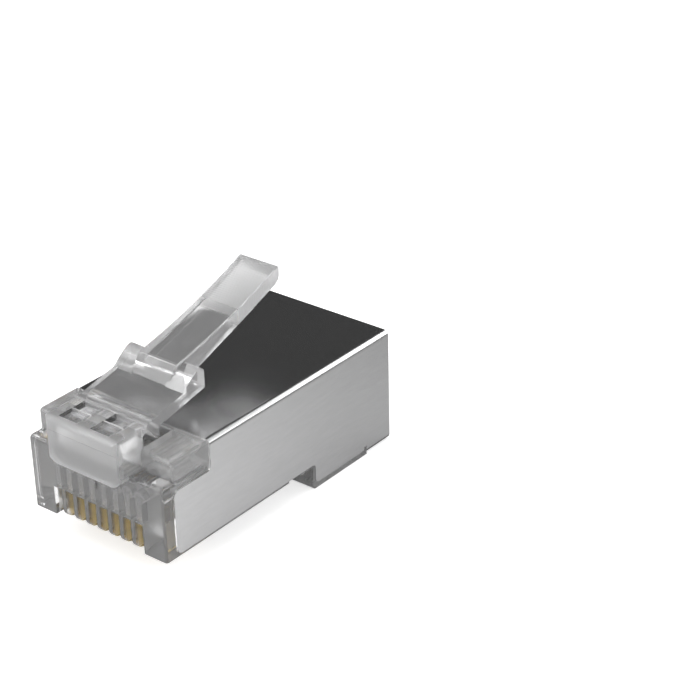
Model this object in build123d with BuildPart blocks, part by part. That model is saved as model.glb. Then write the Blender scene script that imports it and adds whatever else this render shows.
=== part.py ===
# Shielded eight-way modular plug, lying on its contact side with the latch up.
# +X runs across the plug, +Y towards the cable and +Z towards the latch side. Millimetres.
import os
from math import cos, radians, sin, tan

from build123d import *

# Moulded body: distances run back from its main front face, heights up from its contact face
body_width = 11.68
body_length = 22.75
body_height = 6.79
front_corner_radius = 0.2
shoulder_front = 1.03
shoulder_drop = 1.42
shoulder_radius = 0.25
shoulder_front_radius = 0.3
ledge_radius = 0.35
step_at = 14.28
rear_drop = 1.75
step_radius = 0.25

# Folded sheet shield, flush with the moulded body
sheet = 0.25
sheet_gap = 0.02
bend_inner = 0.18
panel_corner_radius = 0.45
panel_inner_radius = 0.3
side_panel_front = 1.02
side_panel_low = 0.135
rear_panel_low = 0.39
riser_panel_gap = 0.3
top_panel_front = 4.46
notch_height = 4.67
band_length = 2.61
band_seam = 0.12
relief_size = 0.28
tab_centre = 12.44
tab_width = 1.2
tab_reach = 0.95
tab_bend_inner = 0.05
tab_corner_radius = 0.3

# Nose that carries the latch
nose_reach = 1.0
nose_half = 3.2
nose_rise = 1.39
nose_overhang = 0.61
nose_rear = 1.33
nose_lip_height = 1.1
nose_lip_step = 0.13
nose_lip_radius = 0.5
nose_plan_radius = 0.55
nose_lower_radius = 0.9
nose_upper_radius = 0.35
recess_start = -0.55
recess_length = 1.15
recess_depth = 0.25
pocket_start = 0.73
pocket_length = 1.02
pocket_depth = 0.42
pocket_width = 1.62
pocket_spacing = 2.75

# Latch, sprung at a thin web behind the nose
channel_half = 3.09
channel_rear = 4.0
web_at = 2.1
web_drop = 0.28
web_radius = 0.22
web_gap = 0.02
web_lip = 0.12
plate_bite = 0.2
tongue_slope = 0.3
latch_half = 3.03
plate_start = 2.4
plate_slope = 11.0
plate_thickness = 0.8
foot_depth = 1.32
foot_front = 2.63
foot_rear = 2.95
foot_fillet = 0.28
hook_start = 5.3
hook_face = 7.3
hook_rise = 1.07
hook_crown = 0.38
hook_swell = (1.1, 0.98)
lever_half = 1.65
ramp_start = 5.4
shelf_start = 6.3
shelf_rise = 0.94
shelf_radius = 0.2
lever_end = 16.5
lever_slope = 16.8
lever_sag = 0.29
lever_tip_thickness = 1.15
lever_under_sag = 0.07
lever_tip_radius = 0.75
lever_lip_radius = 0.15
lever_edge_radius = 0.08

# Contact blades in their slots
contact_count = 8
contact_pitch = 1.02
contact_thickness = 0.35
contact_side_gap = 0.03
contact_front = 0.87
contact_length = 3.33
contact_proud = 0.765
contact_bevel = 0.52
contact_rear_radius = 0.35
contact_shank_height = 2.0
contact_tip_height = 3.1
contact_teeth = 3
tooth_tip_width = 0.14
slot_front = 0.4
front_slot_width = 0.68
front_slot_length = 1.35
slot_rear_gap = 0.15
front_slot_height = 2.1
comb_corner_radius = 0.65
lane_radius = 0.46
lane_height = 3.91
lane_front = 0.55

# Hollow for the conductors and the cable
lane_cover = 0.38
side_wall = 0.87
roof_wall = 0.85
floor_wall = 0.87
window_front = 4.98
window_length = 5.41
window_half = 5.1
window_wall_lean = 0.25
funnel_length = 2.1
crossbar_thickness = 1.3
groove_front = 12.6
groove_half = 5.0
groove_depth = 0.75
groove_lean = 0.2
riser_wall = 0.92
rear_window_margin = 1.0
rear_window_length = 3.8
entry_wall = 2.2
entry_radius = 3.2
divider_thickness = 0.16
divider_length = 2.7
divider_point = 0.6
divider_low = 3.4
wall_bite = 0.1

# Strain relief bars, not yet pressed in
conductor_bar_offset = 1.47
conductor_bar_thickness = 0.9
conductor_bar_inset = 0.35
conductor_bar_height = 1.85
conductor_bar_end_gap = 0.05
conductor_bar_round = 0.2
bar_pocket_width = 0.66
bar_pocket_length = 0.5
bar_pocket_depth = 0.2
jacket_bar_half = 4.1
jacket_bar_height = 0.2
jacket_bar_radius = 0.28
jacket_bar_gap = 0.03
jacket_bar_length = 2.6
jacket_bar_angle = 34.0
jacket_bar_edge = 0.3

# Values that follow from the ones above
front = nose_reach - (body_length + nose_reach) / 2
body_half = body_width / 2
seat_half = body_half - sheet - sheet_gap
front_height = body_height - shoulder_drop
rear_bottom = -rear_drop
band_front = body_length - band_length
nose_top = body_height + nose_rise
nose_bottom = front_height - nose_overhang
cavity_half = seat_half - side_wall
cavity_roof = body_height - sheet - sheet_gap - roof_wall
cavity_floor = rear_bottom + floor_wall
lane_roof = lane_height + lane_radius + lane_cover
window_rear = window_front + window_length
riser_inner = step_at + riser_wall
rear_window_front = step_at + rear_window_margin
entry_front = body_length - entry_wall
entry_height = (cavity_roof + cavity_floor) / 2
slot_width = contact_thickness + 2 * contact_side_gap
contact_rear = contact_front + contact_length
slot_rear = contact_rear + slot_rear_gap
contact_places = [(i - (contact_count - 1) / 2) * contact_pitch for i in range(contact_count)]
comb_half = contact_places[-1] + front_slot_width / 2
web_height = nose_top - web_drop
over = 1.0


def side_plane(x=0.0):
    """Sketch plane across X: its x runs back from the front face, its y up from the contact face."""
    return Plane(origin=(x, front, rear_drop), x_dir=(0, 1, 0), z_dir=(1, 0, 0))


def level(height):
    """Horizontal sketch plane: its x is across, its y runs back from the front face."""
    return Plane(origin=(0, front, rear_drop + height))


def station(distance):
    """Upright sketch plane that faces the front: its x is across, its y up from the contact face."""
    return Plane(origin=(0, front + distance, rear_drop), x_dir=(1, 0, 0), z_dir=(0, -1, 0))


def plate_top(distance):
    """Height of the latch plate's upper face, a plane that springs from the nose's top at the web."""
    return nose_top + (distance - web_at) * tan(radians(plate_slope))


def plate_under(distance):
    return plate_top(distance) - plate_thickness / cos(radians(plate_slope))


def side_panel_face(grow=0.0):
    """The shield seen from the side, running past its top and its rear bottom."""
    riser_at = step_at + riser_panel_gap
    rear_low = rear_bottom + rear_panel_low
    relief_at = band_front - relief_size
    with BuildLine() as outline:
        Polyline(
            (side_panel_front, side_panel_low),
            (riser_at, side_panel_low),
            (riser_at, rear_low),
            (relief_at, rear_low),
            (relief_at, rear_low + relief_size),
            (band_front, rear_low + relief_size),
            (band_front, rear_bottom - over),
            (body_length, rear_bottom - over),
            (body_length, body_height + over),
            (top_panel_front, body_height + over),
            (top_panel_front, notch_height),
            (side_panel_front, notch_height),
            close=True,
        )
    make_face(outline.edges())
    fillet(vertices().group_by(Axis.X)[0], radius=panel_corner_radius)
    inner_corners = (
        (riser_at, side_panel_low),
        (riser_at, rear_low),
        (top_panel_front, notch_height),
    )
    for corner in inner_corners:
        fillet(vertices().sort_by_distance(corner)[0], radius=panel_inner_radius)
    if grow:
        offset(amount=grow, kind=Kind.INTERSECTION)


def section_inside_sheet(gap, mode=Mode.ADD):
    """Rounded section that lies inside the folded sheet, smaller by a gap."""
    top = body_height - sheet - gap
    bottom = rear_bottom + sheet + gap
    with Locations((0, (top + bottom) / 2)):
        RectangleRounded(2 * (body_half - sheet - gap), top - bottom, bend_inner + gap, mode=mode)


os.makedirs("parts", exist_ok=True)

# Nose block, and the tongue behind it that ends at the latch's web
with BuildPart() as nose:
    lip_bottom = nose_top - nose_lip_height
    root = front_height - nose_overhang / 2
    tongue_end = web_at - web_lip
    tongue_top = web_height + web_radius + web_gap
    tongue_low = web_height - web_radius - web_gap
    with BuildSketch(side_plane()):
        with BuildLine():
            Polyline(
                (0, root),
                (0, nose_bottom),
                (nose_lip_step - nose_reach, nose_bottom),
                (nose_lip_step - nose_reach, lip_bottom),
                (-nose_reach, lip_bottom + nose_lip_step),
                (-nose_reach, nose_top),
                (nose_rear, nose_top),
                (tongue_end, tongue_top),
                (tongue_end, tongue_low),
                (nose_rear, tongue_low - tongue_slope * (tongue_end - nose_rear)),
                (nose_rear, root),
                close=True,
            )
        make_face()
        fillet(vertices().sort_by_distance((-nose_reach, nose_top))[0], radius=nose_lip_radius)
    extrude(amount=nose_half, both=True)
    with BuildSketch(level(nose_bottom)):
        with Locations((0, -nose_reach)):
            Rectangle(2 * nose_half, nose_reach + nose_rear, align=(Align.CENTER, Align.MIN))
        fillet(vertices().group_by(Axis.Y)[0], radius=nose_plan_radius)
        with Locations((0, 0)):
            Rectangle(2 * latch_half, tongue_end, align=(Align.CENTER, Align.MIN))
    extrude(amount=nose_top - nose_bottom, mode=Mode.INTERSECT)
    with BuildSketch(station(web_at)):
        with Locations((0, (nose_top + nose_bottom) / 2)):
            Rectangle(2 * nose_half, nose_top - nose_bottom)
        fillet(vertices().group_by(Axis.Y)[0], radius=nose_lower_radius)
        fillet(vertices().group_by(Axis.Y)[-1], radius=nose_upper_radius)
    extrude(amount=web_at + nose_reach + over, mode=Mode.INTERSECT)
    with BuildSketch(side_plane()):
        with Locations((web_at, web_height)):
            Circle(web_radius + web_gap)
    extrude(amount=nose_half, both=True, mode=Mode.SUBTRACT)
    hollows = (
        (recess_start, recess_length, recess_depth),
        (pocket_start, pocket_length, pocket_depth),
    )
    for start, length, depth in hollows:
        with BuildSketch(level(nose_top)):
            with Locations((0, start + length / 2)):
                with GridLocations(pocket_spacing, 1, 2, 1):
                    Rectangle(pocket_width, length)
        extrude(amount=-depth, mode=Mode.SUBTRACT)

# Housing: one clear moulding with the contact slots, the wire lanes and the cable hollow
with BuildPart() as housing:
    with BuildSketch(side_plane()):
        with BuildLine():
            Polyline(
                (0, 0),
                (step_at, 0),
                (step_at, rear_bottom),
                (body_length, rear_bottom),
                (body_length, body_height),
                (0, body_height),
                close=True,
            )
        make_face()
    extrude(amount=body_half, both=True)
    fillet(edges().filter_by(Axis.Z).group_by(Axis.Y)[0], radius=front_corner_radius)
    fillet(edges().filter_by(Axis.Y).group_by(Axis.Z)[-1], radius=shoulder_radius)
    fillet(edges().filter_by(Axis.X).group_by(Axis.Z)[0].sort_by(Axis.Y)[0], radius=step_radius)

    # Low front wall, the channel that the latch sinks into, and the nose
    with BuildSketch(side_plane()):
        with Locations((-over, front_height)):
            Rectangle(over + shoulder_front, over + shoulder_drop, align=(Align.MIN, Align.MIN))
    extrude(amount=body_width, both=True, mode=Mode.SUBTRACT)
    with BuildSketch(level(front_height)):
        Rectangle(2 * channel_half, channel_rear, align=(Align.CENTER, Align.MIN))
    extrude(amount=over + shoulder_drop, mode=Mode.SUBTRACT)
    shoulder_edges = edges().filter_by(Axis.X).filter_by(
        lambda edge: abs(edge.center().Z - level(body_height).origin.Z) < sheet_gap
        and edge.center().Y < front + top_panel_front
    )
    fillet(shoulder_edges, radius=shoulder_front_radius)
    ledge_edges = edges().filter_by(Axis.Y).filter_by(
        lambda edge: abs(edge.center().Z - level(front_height).origin.Z) < sheet_gap
        and abs(edge.center().X) > seat_half
    )
    fillet(ledge_edges, radius=ledge_radius)
    add(nose.part)

    # Seats that let the folded sheet lie flush with the moulding
    for side in (1, -1):
        with BuildSketch(side_plane(side * seat_half)):
            side_panel_face(grow=sheet_gap)
        extrude(amount=side * over, mode=Mode.SUBTRACT)
    with BuildSketch(station(top_panel_front - sheet_gap)):
        with Locations((0, notch_height)):
            Rectangle(body_width + over, body_height - notch_height + over, align=(Align.CENTER, Align.MIN))
        section_inside_sheet(sheet_gap, mode=Mode.SUBTRACT)
    extrude(amount=-body_length, mode=Mode.SUBTRACT)
    with BuildSketch(station(band_front - sheet_gap)):
        with Locations((0, 0)):
            Rectangle(body_width + over, rear_drop + over, align=(Align.CENTER, Align.MAX))
        section_inside_sheet(sheet_gap, mode=Mode.SUBTRACT)
    extrude(amount=-body_length, mode=Mode.SUBTRACT)
    with BuildSketch(level(sheet + sheet_gap)):
        with Locations((body_half, tab_centre), (-body_half, tab_centre)):
            Rectangle(2 * (tab_reach + sheet_gap), tab_width + 2 * sheet_gap)
    extrude(amount=-over, mode=Mode.SUBTRACT)

    # Hollow for the conductors and the cable, open through the conductor window
    with BuildSketch(side_plane()):
        with BuildLine():
            Polyline(
                (window_front, crossbar_thickness),
                (window_front, lane_roof),
                (window_rear - funnel_length, lane_roof),
                (window_rear, cavity_roof),
                (entry_front, cavity_roof),
                (entry_front, cavity_floor),
                (riser_inner, cavity_floor),
                (riser_inner, crossbar_thickness),
                close=True,
            )
        make_face()
    extrude(amount=cavity_half, both=True, mode=Mode.SUBTRACT)
    with BuildSketch(side_plane()):
        with BuildLine():
            Polyline(
                (window_front, -over),
                (window_front, lane_roof),
                (window_rear - window_wall_lean, lane_roof),
                (window_rear - window_wall_lean, crossbar_thickness),
                (window_rear, 0),
                (window_rear, -over),
                close=True,
            )
        make_face()
    extrude(amount=window_half, both=True, mode=Mode.SUBTRACT)
    with BuildSketch(side_plane()):
        with BuildLine():
            Polyline(
                (groove_front, -over),
                (groove_front, 0),
                (groove_front + groove_lean, groove_depth),
                (step_at, groove_depth - groove_lean),
                (step_at, -over),
                close=True,
            )
        make_face()
    extrude(amount=groove_half, both=True, mode=Mode.SUBTRACT)
    with BuildSketch(level(cavity_floor)):
        with Locations((0, rear_window_front)):
            Rectangle(2 * cavity_half, rear_window_length, align=(Align.CENTER, Align.MIN))
    extrude(amount=-over, mode=Mode.SUBTRACT)
    with BuildSketch(station(entry_front)):
        with Locations((0, entry_height)):
            Circle(entry_radius)
    extrude(amount=-(entry_wall + over), mode=Mode.SUBTRACT)

    # Ribs that part the conductors, pointed towards the cable
    with BuildSketch(level(divider_low)):
        with Locations((0, window_front)):
            with GridLocations(contact_pitch, 1, contact_count - 1, 1):
                with BuildLine():
                    Polyline(
                        (-divider_thickness / 2, -wall_bite),
                        (-divider_thickness / 2, divider_length - divider_point),
                        (0, divider_length),
                        (divider_thickness / 2, divider_length - divider_point),
                        (divider_thickness / 2, -wall_bite),
                        close=True,
                    )
                make_face()
    extrude(amount=lane_roof + wall_bite - divider_low)

    # Contact comb: rounded rib corners, blade slots and round wire lanes
    with BuildSketch(side_plane()):
        Rectangle(comb_corner_radius, comb_corner_radius, align=(Align.MIN, Align.MIN))
        with Locations((comb_corner_radius, comb_corner_radius)):
            Circle(comb_corner_radius, mode=Mode.SUBTRACT)
    extrude(amount=comb_half, both=True, mode=Mode.SUBTRACT)
    with BuildSketch(level(0)):
        with Locations((0, (slot_front + slot_rear) / 2)):
            with GridLocations(contact_pitch, 1, contact_count, 1):
                Rectangle(slot_width, slot_rear - slot_front)
    extrude(amount=lane_height, mode=Mode.SUBTRACT)
    with BuildSketch(level(0)):
        with Locations((0, front_slot_length)):
            with GridLocations(contact_pitch, 1, contact_count, 1):
                Rectangle(front_slot_width, front_slot_length + over, align=(Align.CENTER, Align.MAX))
    extrude(amount=front_slot_height, mode=Mode.SUBTRACT)
    with BuildSketch(station(lane_front)):
        with Locations((0, lane_height)):
            with GridLocations(contact_pitch, 1, contact_count, 1):
                Circle(lane_radius)
    extrude(amount=-(window_front - lane_front + wall_bite), mode=Mode.SUBTRACT)

housing.part.label = "housing"
export_step(housing.part, "parts/housing.step")

# Lever: a bar that curves up from the ramp between the hooks to its tip
with BuildPart() as lever:
    shelf_height = plate_top(shelf_start) + shelf_rise
    tip_height = shelf_height + (lever_end - shelf_start) * tan(radians(lever_slope))
    root_height = plate_under(hook_face) + plate_bite
    top_middle = ((shelf_start + lever_end) / 2, (shelf_height + tip_height) / 2 - lever_sag)
    tip_low = tip_height - lever_tip_thickness
    under_middle = ((hook_face + lever_end) / 2, (root_height + tip_low) / 2 - lever_under_sag)
    with BuildSketch(side_plane()):
        with BuildLine():
            Line((ramp_start, plate_top(ramp_start)), (shelf_start, shelf_height))
            ThreePointArc((shelf_start, shelf_height), top_middle, (lever_end, tip_height))
            Line((lever_end, tip_height), (lever_end, tip_low))
            ThreePointArc((lever_end, tip_low), under_middle, (hook_face, root_height))
            Polyline(
                (hook_face, root_height),
                (ramp_start, plate_under(ramp_start) + plate_bite),
                (ramp_start, plate_top(ramp_start)),
            )
        make_face()
        fillet(vertices().sort_by_distance((shelf_start, shelf_height))[0], radius=shelf_radius)
        fillet(vertices().sort_by_distance((lever_end, tip_low))[0], radius=lever_tip_radius)
        fillet(vertices().sort_by_distance((lever_end, tip_height))[0], radius=lever_lip_radius)
    extrude(amount=lever_half, both=True)
    side_edges = edges().filter_by(lambda edge: abs(abs(edge.center().X) - lever_half) < sheet_gap)
    fillet(side_edges, radius=lever_edge_radius)

# Latch: web, foot, plate, two hooks and the lever, in the same clear plastic
with BuildPart() as latch:
    with BuildSketch(side_plane()):
        with BuildLine():
            Polyline(
                (web_at, web_height + web_radius),
                (plate_start, plate_top(plate_start)),
                (hook_face, plate_top(hook_face)),
                (hook_face, plate_under(hook_face)),
                (foot_rear, plate_under(foot_rear)),
                (foot_rear, nose_top - foot_depth),
                (foot_front, nose_top - foot_depth),
                (web_at, web_height - web_radius),
                close=True,
            )
        make_face()
        fillet(vertices().sort_by_distance((foot_rear, plate_under(foot_rear)))[0], radius=foot_fillet)
        with Locations((web_at, web_height)):
            Circle(web_radius)
    extrude(amount=latch_half, both=True)
    crown_height = plate_top(hook_start) + hook_rise
    crown_start = (hook_face - hook_crown, crown_height)
    swell = (hook_start + hook_swell[0], plate_top(hook_start) + hook_swell[1])
    for side in (1, -1):
        with BuildSketch(side_plane(side * (lever_half - plate_bite))):
            with BuildLine():
                Bezier((hook_start, plate_top(hook_start)), swell, crown_start)
                RadiusArc(crown_start, (hook_face, crown_height - hook_crown), hook_crown)
                Polyline(
                    (hook_face, crown_height - hook_crown),
                    (hook_face, plate_top(hook_face) - plate_bite),
                    (hook_start, plate_top(hook_start) - plate_bite),
                    (hook_start, plate_top(hook_start)),
                )
            make_face()
        extrude(amount=side * (latch_half - lever_half + plate_bite))
    add(lever.part)

latch.part.label = "latch"
export_step(latch.part, "parts/latch.step")

# Shield: one sheet folded round three sides, closed under the rear by a band with a seam
with BuildPart() as shield:
    with BuildSketch(station(side_panel_front)):
        with Locations((0, (body_height + rear_bottom) / 2)):
            RectangleRounded(body_width, body_height + rear_drop, sheet + bend_inner)
        section_inside_sheet(0, mode=Mode.SUBTRACT)
    extrude(amount=side_panel_front - body_length)
    with BuildSketch(side_plane()):
        side_panel_face()
    extrude(amount=body_half, both=True, mode=Mode.INTERSECT)
    with BuildSketch(level(rear_bottom - over)):
        with Locations((0, band_front - over)):
            Rectangle(band_seam, band_length + 2 * over, align=(Align.CENTER, Align.MIN))
    extrude(amount=over + 2 * sheet, mode=Mode.SUBTRACT)
    for side in (1, -1):
        with BuildSketch(station(tab_centre + tab_width / 2)):
            with BuildLine():
                Polyline(
                    (side * body_half, side_panel_low + sheet),
                    (side * body_half, 0),
                    (side * (body_half - tab_reach), 0),
                    (side * (body_half - tab_reach), sheet),
                    (side * (body_half - sheet), sheet),
                    (side * (body_half - sheet), side_panel_low + sheet),
                    close=True,
                )
            make_face()
            fillet(vertices().sort_by_distance((side * body_half, 0))[0], radius=sheet + tab_bend_inner)
            inner = vertices().sort_by_distance((side * (body_half - sheet), sheet))[0]
            fillet(inner, radius=tab_bend_inner)
        extrude(amount=tab_width)
    tab_ends = edges().filter_by(Axis.Z).filter_by(
        lambda edge: abs(abs(edge.center().X) - (body_half - tab_reach)) < sheet_gap
    )
    fillet(tab_ends, radius=tab_corner_radius)

shield.part.label = "shield"
export_step(shield.part, "parts/shield.step")

# Contacts: flat blades with a bevelled nose and three points that pierce the conductor
for number, place in enumerate(contact_places, start=1):
    tooth_pitch = contact_length / contact_teeth
    outline = [
        (contact_front, contact_bevel - contact_proud),
        (contact_front + contact_bevel, -contact_proud),
        (contact_rear, -contact_proud),
    ]
    for tooth in range(contact_teeth):
        rear_foot = contact_rear - tooth * tooth_pitch
        tip = rear_foot - tooth_pitch / 2
        outline.append((rear_foot, contact_shank_height))
        outline.append((tip + tooth_tip_width / 2, contact_tip_height))
        outline.append((tip - tooth_tip_width / 2, contact_tip_height))
    outline.append((contact_front, contact_shank_height))
    with BuildPart() as contact:
        with BuildSketch(side_plane(place)):
            with BuildLine():
                Polyline(*outline, close=True)
            make_face()
            fillet(vertices().sort_by_distance((contact_rear, -contact_proud))[0], radius=contact_rear_radius)
        extrude(amount=contact_thickness / 2, both=True)
    contact.part.label = f"contact_{number}"
    export_step(contact.part, f"parts/contact_{number}.step")

# Conductor clamp: a bar across the front window with a shallow square over each wire lane
with BuildPart() as conductor_clamp:
    bar_front = window_front + conductor_bar_offset
    with BuildSketch(level(conductor_bar_inset)):
        with Locations((0, bar_front + conductor_bar_thickness / 2)):
            Rectangle(2 * (window_half - conductor_bar_end_gap), conductor_bar_thickness)
    extrude(amount=conductor_bar_height)
    fillet(edges().filter_by(Axis.X).group_by(Axis.Z)[-1], radius=conductor_bar_round)
    with BuildSketch(level(conductor_bar_inset)):
        with Locations((0, bar_front + conductor_bar_thickness / 2)):
            with GridLocations(contact_pitch, 1, contact_count, 1):
                Rectangle(bar_pocket_width, bar_pocket_length)
    extrude(amount=bar_pocket_depth, mode=Mode.SUBTRACT)

conductor_clamp.part.label = "conductor_clamp"
export_step(conductor_clamp.part, "parts/conductor_clamp.step")

# Jacket clamp: a wedge bar that swings up at its front edge against the cable jacket
with BuildPart() as jacket_clamp:
    pivot_at = riser_inner + jacket_bar_gap + jacket_bar_radius
    slope = radians(jacket_bar_angle)
    end_at = pivot_at + jacket_bar_length * cos(slope)
    end_height = jacket_bar_height - jacket_bar_length * sin(slope)
    rise = (sin(slope), cos(slope))
    with BuildSketch(side_plane()):
        with Locations((pivot_at, jacket_bar_height)):
            Circle(jacket_bar_radius)
        with BuildLine():
            Polyline(
                (pivot_at + jacket_bar_radius * rise[0], jacket_bar_height + jacket_bar_radius * rise[1]),
                (end_at + jacket_bar_edge * rise[0], end_height + jacket_bar_edge * rise[1]),
                (end_at, end_height),
                (pivot_at - jacket_bar_radius * rise[0], jacket_bar_height - jacket_bar_radius * rise[1]),
                close=True,
            )
        make_face()
    extrude(amount=jacket_bar_half, both=True)

jacket_clamp.part.label = "jacket_clamp"
export_step(jacket_clamp.part, "parts/jacket_clamp.step")
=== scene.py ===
# Looks of a clear modular plug in a folded nickel shield, lying latch side up.
# Metres, in the part's own frame: x across the plug, y towards its cable end, z up.
import math

import bmesh
import bpy
from mathutils import Matrix, Vector


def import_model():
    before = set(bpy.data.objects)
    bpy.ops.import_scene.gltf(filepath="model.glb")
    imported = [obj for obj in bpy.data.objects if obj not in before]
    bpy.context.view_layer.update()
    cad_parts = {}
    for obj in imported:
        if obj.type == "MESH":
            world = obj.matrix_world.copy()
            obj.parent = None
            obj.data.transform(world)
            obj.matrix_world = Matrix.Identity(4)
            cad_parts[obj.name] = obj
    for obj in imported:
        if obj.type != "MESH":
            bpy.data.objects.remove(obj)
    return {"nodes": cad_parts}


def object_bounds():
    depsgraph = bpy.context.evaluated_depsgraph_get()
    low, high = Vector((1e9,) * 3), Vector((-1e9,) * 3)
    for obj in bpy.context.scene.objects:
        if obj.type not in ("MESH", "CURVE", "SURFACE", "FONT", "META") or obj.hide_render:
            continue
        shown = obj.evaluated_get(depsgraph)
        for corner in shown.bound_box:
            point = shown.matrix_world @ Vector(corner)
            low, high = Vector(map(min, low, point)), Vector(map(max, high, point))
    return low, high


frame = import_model()
cad_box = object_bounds()

MM = 0.001
CONTACTS = [f"contact_{number}" for number in range(1, 9)]

# Camera, solved from the plug's corners in the photograph
CAMERA_PLACE = Vector((78.83, -82.915, 70.50)) * MM
CAMERA_RIGHT = Vector((0.78257766, 0.62213509, -0.02280661))
CAMERA_DOWN = Vector((0.27689195, -0.38064333, -0.88229332))
CAMERA_AHEAD = Vector((-0.55758681, 0.68414807, -0.47014717))
CAMERA_LENS = 101.42
CAMERA_SENSOR = 36
CAMERA_SHIFT = (0.0137, 0.0061)
CAMERA_CLIP = (5 * MM, 10)

# Box that holds the housing's inner walls, and the comb above the slots at its front
INNER_HALF = 5.2 * MM
INNER_FRONT = -10.6 * MM
INNER_LOW = 1.9 * MM
INNER_HIGH = 6.9 * MM
COMB_REAR = -9.3 * MM
COMB_LOW = 3.86 * MM

# The nose's front, the shoulders at its sides, and the top of both
NOSE_REAR = -10.95 * MM
NOSE_LOW = 6.5 * MM
SHOULDER_INSIDE = 3.08 * MM
TOP_LOW = 7.2 * MM

# The four pockets in the nose's top, and their left walls, which both take painted shade
POCKETS_FRONT = -11.45 * MM
POCKETS_REAR = -9.10 * MM
POCKETS_HALF = 2.25 * MM
POCKETS_LOW = 9.45 * MM
POCKETS_HIGH = 9.92 * MM
POCKET_WALLS = ((-2.20 * MM, -2.15 * MM), (0.55 * MM, 0.60 * MM))

# Where the lever's frosting fades in, towards its tip, and its cross ridges
FROST_FROM = 1.2 * MM
FROST_FULL = 1.6 * MM
RIDGE_PITCH = 0.17 * MM
RIPPLE_SHARE = 1.2

# Between the two faces of the shield's side panels, below the fold: their cut edges, dark as
# bare steel and darker still as a painted shadow line
SHEET_INSIDE = 5.60 * MM
SHEET_OUTSIDE = 5.83 * MM
FOLD_LOW = 8.0 * MM

# Colours. A pair is the darkest and the lightest of a mottled finish.
WHITE = (1.0, 1.0, 1.0, 1.0)
HOUSING_CLEAR = ((0.93, 0.93, 0.94, 1), (0.98, 0.98, 0.98, 1))
LATCH_CLEAR = ((0.95, 0.95, 0.955, 1), (0.985, 0.985, 0.985, 1))
# Painted shade: the comb's walls above the slots are darkened to dark grey.
COMB_PAINTED_SHADE = (0.36, 0.36, 0.38, 1)
# Painted shade: the pockets a little darker, and their left walls near black.
POCKET_PAINTED_SHADE = (0.80, 0.80, 0.81, 1)
POCKET_WALL_PAINTED_SHADE = (0.08, 0.08, 0.08, 1)
NICKEL = ((0.62, 0.62, 0.625, 1), (0.72, 0.72, 0.725, 1))
# Bare steel of the cut edges, made near black as a painted shadow line.
CUT_STEEL_AND_SHADOW = (0.10, 0.10, 0.10, 1)
GOLD = ((0.70, 0.46, 0.08, 1), (0.92, 0.68, 0.20, 1))
FLOOR_PALE = (0.80, 0.80, 0.80, 1)
FLOOR_PAINTED_SHADE = (0.42, 0.42, 0.42, 1)
CARD_BLACK = (0.02, 0.02, 0.02, 1)
SKY_GREY = (0.48, 0.48, 0.48, 1)

# Noise patterns: scale, in cycles to the metre, and detail
CLOUD = (420.0, 3.0)
RIPPLE = (700.0, 2.0)
HOUSING_GRAIN = (5200.0, 4.0)
LATCH_GRAIN = (6000.0, 4.0)
RIDGE_BREAKS = (1500.0, 2.0)
DRAWN_LINES = (900.0, 5.0)
DRAWN_STRETCH = (6.0, 1.0, 6.0)
SPECK = (11000.0, 3.0)
WEAR = (2600.0, 4.0)

# Roughness. A pair is the least and the most.
SKIN_ROUGHNESS = (0.10, 0.14)
NOSE_ROUGHNESS = (0.34, 0.40)
SHOULDER_ROUGHNESS = 0.20
WALL_ROUGHNESS = (0.34, 0.44)
COMB_ROUGHNESS = 0.10
POCKET_ROUGHNESS = 0.12
LATCH_ROUGHNESS = (0.07, 0.13)
FROST_ROUGHNESS = (0.34, 0.48)
NICKEL_ROUGHNESS = (0.18, 0.28)
GOLD_ROUGHNESS = (0.16, 0.30)
FLOOR_ROUGHNESS = 0.9

# Clear plastic: share of light that goes through, bend of light, and polish
SKIN_CLARITY = 0.90
HAZE_CLARITY = 0.76
LATCH_CLARITY = 0.88
PLASTIC_IOR = 1.585
POLISH_WEIGHT = 0.6
POLISH_ROUGHNESS = 0.03

# Relief: distance and strength
HOUSING_RELIEF = (0.012 * MM, 0.5)
LATCH_RELIEF = (0.010 * MM, 0.8)
NICKEL_RELIEF = (0.003 * MM, 0.35)
GOLD_RELIEF = (0.004 * MM, 0.3)

# The floor shows white to the camera and pale through the plastic, except under the plug,
# where that glow is left out as a painted shadow.
# Mirrored in the shield it darkens away to the rear: painted shade in its colour and a
# painted glow near the front give the shield's side its fall-off.
FLOOR_SIZE = (3.0, 3.0)
AWAY_FROM = -8 * MM
AWAY_FULL = 26 * MM
SEEN_GLOW = 0.66
THROUGH_GLOW = 0.62
MIRRORED_GLOW = 0.10

# The studio: each card's place and size, each lamp's place, size, watts and roll
CENTRE = (0, 0, 0)
CARD_GLOW = 0.04
CARDS = {
    "black_card": ((-0.33, 0.40, 0.34), (0.70, 0.56)),
    "low_black_card": ((0.36, 0.35, 0.035), (0.30, 0.07)),
    "rear_black_card": ((0.36, 0.45, 0.36), (0.50, 0.50)),
}
LAMPS = {
    "overhead_lamp": ((-0.05, 0.02, 0.50), (0.45, 0.45), 1.0, 0.0),
    "front_lamp": ((-0.25, -0.42, 0.22), (0.30, 0.30), 0.55, 0.0),
    "right_lamp": ((0.48, -0.05, 0.25), (0.25, 0.30), 0.35, 0.0),
    "fold_lamp": ((0.20, 0.342, 0.24), (0.38, 0.10), 0.38, math.radians(40)),
    "edge_lamp": ((-0.30, -0.15, 0.30), (0.12, 0.34), 0.30, 0.0),
}
NOT_MIRRORED = ("rear_black_card", "overhead_lamp", "right_lamp")
NOT_SEEN_THROUGH = ("front_lamp", "fold_lamp")


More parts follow.
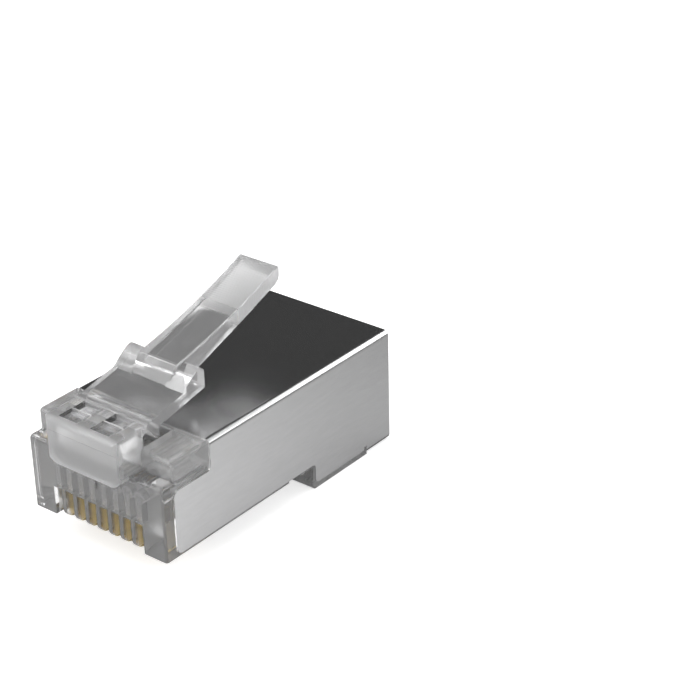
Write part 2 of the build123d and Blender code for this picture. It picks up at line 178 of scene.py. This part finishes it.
def camera():
    data = bpy.data.cameras.new("camera")
    data.lens = CAMERA_LENS
    data.sensor_width = CAMERA_SENSOR
    data.shift_x, data.shift_y = CAMERA_SHIFT
    data.clip_start, data.clip_end = CAMERA_CLIP
    eye = bpy.data.objects.new("camera", data)
    turn = Matrix((CAMERA_RIGHT, -CAMERA_DOWN, -CAMERA_AHEAD)).transposed()
    eye.matrix_world = Matrix.Translation(CAMERA_PLACE) @ turn.to_4x4()
    bpy.context.scene.collection.objects.link(eye)
    bpy.context.scene.camera = eye


class Finish:
    """A material's node tree, with short calls that add and join its nodes."""

    def __init__(self, name):
        self.material = bpy.data.materials.new(name)
        self.material.use_nodes = True
        self.nodes = self.material.node_tree.nodes
        self.links = self.material.node_tree.links
        self.shader = self.nodes["Principled BSDF"]
        self.output = self.nodes["Material Output"]
        self.place = self.add("ShaderNodeTexCoord").outputs["Object"]

    def add(self, kind, **settings):
        node = self.nodes.new(kind)
        for key, value in settings.items():
            setattr(node, key, value)
        return node

    def put(self, node, values):
        """Link or set each named or numbered input of a node."""
        for socket, value in values.items():
            if isinstance(value, bpy.types.NodeSocket):
                self.links.new(value, node.inputs[socket])
            else:
                node.inputs[socket].default_value = value
        return node

    def set(self, **values):
        for key, value in values.items():
            self.put(self.shader, {key.replace("_", " "): value})

    def stretched(self, scale):
        node = self.add("ShaderNodeMapping")
        return self.put(node, {"Vector": self.place, "Scale": scale}).outputs["Vector"]

    def noise(self, scale, detail, vector=None):
        node = self.add("ShaderNodeTexNoise")
        self.put(node, {"Vector": vector or self.place, "Scale": scale, "Detail": detail})
        return node.outputs["Fac"]

    def spread(self, value, low, high, low_from=0.0, high_from=1.0):
        node = self.add("ShaderNodeMapRange")
        self.put(node, {"Value": value, "From Min": low_from, "From Max": high_from})
        return self.put(node, {"To Min": low, "To Max": high}).outputs["Result"]

    def mixed(self, value, first, second):
        node = self.add("ShaderNodeMix", data_type="RGBA")
        return self.put(node, {"Factor": value, 6: first, 7: second}).outputs[2]

    def axes(self):
        node = self.put(self.add("ShaderNodeSeparateXYZ"), {"Vector": self.place})
        return node.outputs["X"], node.outputs["Y"], node.outputs["Z"]

    def maths(self, operation, first, second=0.0):
        node = self.add("ShaderNodeMath", operation=operation)
        return self.put(node, {0: first, 1: second}).outputs["Value"]

    def product(self, first, *others):
        for other in others:
            first = self.maths("MULTIPLY", first, other)
        return first

    def above(self, value, limit):
        return self.maths("GREATER_THAN", value, limit)

    def below(self, value, limit):
        return self.maths("LESS_THAN", value, limit)

    def between(self, value, low, high):
        """1 where the value lies between two limits, otherwise 0."""
        return self.product(self.above(value, low), self.below(value, high))

    def bumped(self, height, distance, strength):
        node = self.add("ShaderNodeBump")
        self.put(node, {"Height": height, "Distance": distance, "Strength": strength})
        self.put(self.shader, {"Normal": node.outputs["Normal"]})


def clear_housing():
    """Clear moulding: polished outside, hazy on the nose, matt on the walls inside it."""
    finish = Finish("clear_housing")
    across, along, up = finish.axes()

    inner = finish.product(
        finish.between(across, -INNER_HALF, INNER_HALF),
        finish.above(along, INNER_FRONT),
        finish.between(up, INNER_LOW, INNER_HIGH),
    )
    comb = finish.product(inner, finish.below(along, COMB_REAR), finish.above(up, COMB_LOW))
    nose = finish.product(finish.below(along, NOSE_REAR), finish.above(up, NOSE_LOW))
    top = finish.above(up, TOP_LOW)
    sideways = finish.maths("ABSOLUTE", across)
    shoulder = finish.product(finish.above(sideways, SHOULDER_INSIDE), top)
    pocket = finish.product(
        finish.between(along, POCKETS_FRONT, POCKETS_REAR),
        finish.between(up, POCKETS_LOW, POCKETS_HIGH),
        finish.between(across, -POCKETS_HALF, POCKETS_HALF),
    )
    left_walls = [finish.between(across, low, high) for low, high in POCKET_WALLS]
    left_wall = finish.product(pocket, finish.maths("ADD", *left_walls))

    grain = finish.noise(*HOUSING_GRAIN)
    polished = finish.spread(grain, *SKIN_ROUGHNESS)
    skin = finish.spread(nose, polished, finish.spread(grain, *NOSE_ROUGHNESS))
    skin = finish.spread(shoulder, skin, SHOULDER_ROUGHNESS)
    wall = finish.spread(comb, finish.spread(grain, *WALL_ROUGHNESS), COMB_ROUGHNESS)
    roughness = finish.spread(inner, skin, wall)

    body = finish.mixed(finish.noise(*CLOUD), *HOUSING_CLEAR)
    # Painted shade in the pockets, darkest on their left walls; the moulding itself is one
    # clear colour.
    body = finish.mixed(pocket, body, POCKET_PAINTED_SHADE)
    body = finish.mixed(left_wall, body, POCKET_WALL_PAINTED_SHADE)

    hazy = finish.maths("MAXIMUM", nose, top)
    # The comb's walls take painted shade, dark grey over the clear body.
    finish.set(
        Base_Color=finish.mixed(comb, body, COMB_PAINTED_SHADE),
        Roughness=finish.spread(pocket, roughness, POCKET_ROUGHNESS),
        IOR=PLASTIC_IOR,
        Transmission_Weight=finish.spread(hazy, SKIN_CLARITY, HAZE_CLARITY),
        Coat_Weight=POLISH_WEIGHT,
        Coat_Roughness=POLISH_ROUGHNESS,
    )
    finish.bumped(finish.noise(*RIPPLE), *HOUSING_RELIEF)
    return finish.material


def clear_latch():
    """Clearer moulding for the latch. Fine cross ridges frost the lever's outer half."""
    finish = Finish("clear_latch")
    along = finish.axes()[1]
    outer = finish.spread(along, 0.0, 1.0, FROST_FROM, FROST_FULL)
    grain = finish.noise(*LATCH_GRAIN)
    waves = finish.maths("SINE", finish.maths("MULTIPLY", along, 2 * math.pi / RIDGE_PITCH))
    ridges = finish.product(waves, outer, finish.noise(*RIDGE_BREAKS))
    ripple = finish.maths("MULTIPLY", finish.noise(*RIPPLE), RIPPLE_SHARE)
    polished = finish.spread(grain, *LATCH_ROUGHNESS)
    frosted = finish.spread(grain, *FROST_ROUGHNESS)
    finish.set(
        Base_Color=finish.mixed(finish.noise(*CLOUD), *LATCH_CLEAR),
        Roughness=finish.spread(outer, polished, frosted),
        IOR=PLASTIC_IOR,
        Transmission_Weight=LATCH_CLARITY,
    )
    finish.bumped(finish.maths("ADD", ridges, ripple), *LATCH_RELIEF)
    return finish.material


def nickel_sheet():
    """Nickel plate over a drawn sheet. The cut edges of its side panels are dark: bare steel,
    and a painted shadow line along the sheet's edge.
    """
    finish = Finish("nickel_sheet")
    across, _, up = finish.axes()
    drawn = finish.noise(*DRAWN_LINES, finish.stretched(DRAWN_STRETCH))
    speck = finish.noise(*SPECK)
    sideways = finish.maths("ABSOLUTE", across)
    in_sheet = finish.between(sideways, SHEET_INSIDE, SHEET_OUTSIDE)
    # The cut edges: bare steel, painted near black as the shadow line at the sheet's edge.
    cut = finish.product(in_sheet, finish.below(up, FOLD_LOW))
    finish.set(
        Base_Color=finish.mixed(cut, finish.mixed(drawn, *NICKEL), CUT_STEEL_AND_SHADOW),
        Metallic=1.0,
        Roughness=finish.spread(speck, *NICKEL_ROUGHNESS),
    )
    finish.bumped(speck, *NICKEL_RELIEF)
    return finish.material


def gold_plate():
    finish = Finish("gold_plate")
    wear = finish.noise(*WEAR)
    finish.set(
        Base_Color=finish.mixed(wear, *GOLD),
        Metallic=1.0,
        Roughness=finish.spread(wear, *GOLD_ROUGHNESS),
    )
    finish.bumped(wear, *GOLD_RELIEF)
    return finish.material


def finishes():
    plastic = clear_housing()
    named = {"housing": plastic, "conductor_clamp": plastic, "jacket_clamp": plastic}
    named["latch"] = clear_latch()
    named["shield"] = nickel_sheet()
    named.update(dict.fromkeys(CONTACTS, gold_plate()))
    for name, material in named.items():
        slots = frame["nodes"][name].data.materials
        slots.clear()
        slots.append(material)


def lamp(name, place, size, watts, roll):
    """A soft box that faces the plug."""
    data = bpy.data.lights.new(name, "AREA")
    data.shape = "RECTANGLE"
    data.size, data.size_y = size
    data.energy = watts
    light = bpy.data.objects.new(name, data)
    ahead = (Vector(CENTRE) - Vector(place)).normalized()
    turn = ahead.to_track_quat("-Z", "Y").to_matrix().to_4x4() @ Matrix.Rotation(roll, 4, "Z")
    light.matrix_world = Matrix.Translation(place) @ turn
    bpy.context.scene.collection.objects.link(light)
    return light


def flat_sheet(name, place, aim, size):
    """A flat card of the studio, turned to face a point."""
    mesh = bpy.data.meshes.new(name)
    shape = bmesh.new()
    bmesh.ops.create_grid(shape, x_segments=1, y_segments=1, size=0.5)
    bmesh.ops.scale(shape, vec=(*size, 1), verts=shape.verts)
    ahead = (Vector(aim) - Vector(place)).normalized()
    turn = ahead.to_track_quat("Z", "Y").to_matrix().to_4x4()
    bmesh.ops.transform(shape, matrix=Matrix.Translation(place) @ turn, verts=shape.verts)
    shape.to_mesh(mesh)
    shape.free()
    card = bpy.data.objects.new(name, mesh)
    bpy.context.scene.collection.objects.link(card)
    return card


def black_card(name, place, size):
    """A black flag, seen only mirrored in the plug and through it."""
    card = flat_sheet(name, place, CENTRE, size)
    finish = Finish(name)
    finish.set(Base_Color=CARD_BLACK, Roughness=1.0, Specular_IOR_Level=0.0)
    finish.set(Emission_Color=WHITE, Emission_Strength=CARD_GLOW)
    card.data.materials.append(finish.material)
    card.visible_camera = False
    card.visible_diffuse = False
    card.visible_shadow = False
    return card


def floor():
    """A pale floor that carries the plug's shadow. It is clear from below."""
    ground = flat_sheet("floor", CENTRE, (0, 0, 1), FLOOR_SIZE)
    finish = Finish("floor")
    ray = finish.add("ShaderNodeLightPath").outputs
    across, along = finish.axes()[:2]
    lowest, highest = cad_box
    under_plug = finish.product(
        finish.between(across, lowest[0], highest[0]),
        finish.between(along, lowest[1], highest[1]),
    )
    # Painted shade and glow, seen only mirrored: the floor darker rearward and glowing near
    # the front.
    rearward = finish.spread(along, 0.0, 1.0, AWAY_FROM, AWAY_FULL)
    away = finish.product(ray["Is Glossy Ray"], rearward)
    near = finish.maths("SUBTRACT", ray["Is Glossy Ray"], away)
    # Under the plug the glow seen through the plastic is left out, as a painted shadow.
    open_floor = finish.maths("SUBTRACT", 1.0, under_plug)

    mirrored = finish.maths("MULTIPLY", near, MIRRORED_GLOW)
    seen = finish.maths("MULTIPLY", ray["Is Camera Ray"], SEEN_GLOW)
    through = finish.product(ray["Is Transmission Ray"], THROUGH_GLOW, open_floor)
    glow = finish.maths("MAXIMUM", finish.maths("MAXIMUM", seen, through), mirrored)
    finish.set(
        Base_Color=finish.mixed(away, FLOOR_PALE, FLOOR_PAINTED_SHADE),
        Roughness=FLOOR_ROUGHNESS,
        Specular_IOR_Level=0.0,
        Emission_Color=WHITE,
        Emission_Strength=glow,
    )

    clear = finish.add("ShaderNodeBsdfTransparent").outputs["BSDF"]
    from_below = finish.add("ShaderNodeNewGeometry").outputs["Backfacing"]
    either = finish.add("ShaderNodeMixShader")
    finish.put(either, {0: from_below, 1: finish.shader.outputs["BSDF"], 2: clear})
    finish.put(finish.output, {"Surface": either.outputs[0]})
    ground.data.materials.append(finish.material)


def world():
    """White behind the plug, and grey where it lights the plug."""
    sky = bpy.data.worlds.new("studio")
    sky.use_nodes = True
    nodes, links = sky.node_tree.nodes, sky.node_tree.links
    ray = nodes.new("ShaderNodeLightPath").outputs
    mix = nodes.new("ShaderNodeMix")
    mix.data_type = "RGBA"
    mix.inputs[6].default_value = SKY_GREY
    mix.inputs[7].default_value = WHITE
    links.new(ray["Is Camera Ray"], mix.inputs["Factor"])
    links.new(mix.outputs[2], nodes["Background"].inputs["Color"])
    bpy.context.scene.world = sky


def studio():
    world()
    floor()
    stand = {name: black_card(name, *card) for name, card in CARDS.items()}
    stand.update({name: lamp(name, *light) for name, light in LAMPS.items()})
    for name in NOT_MIRRORED:
        stand[name].visible_glossy = False
    for name in NOT_SEEN_THROUGH:
        stand[name].visible_transmission = False


camera()
finishes()
studio()
bpy.context.scene.view_settings.view_transform = "Standard"
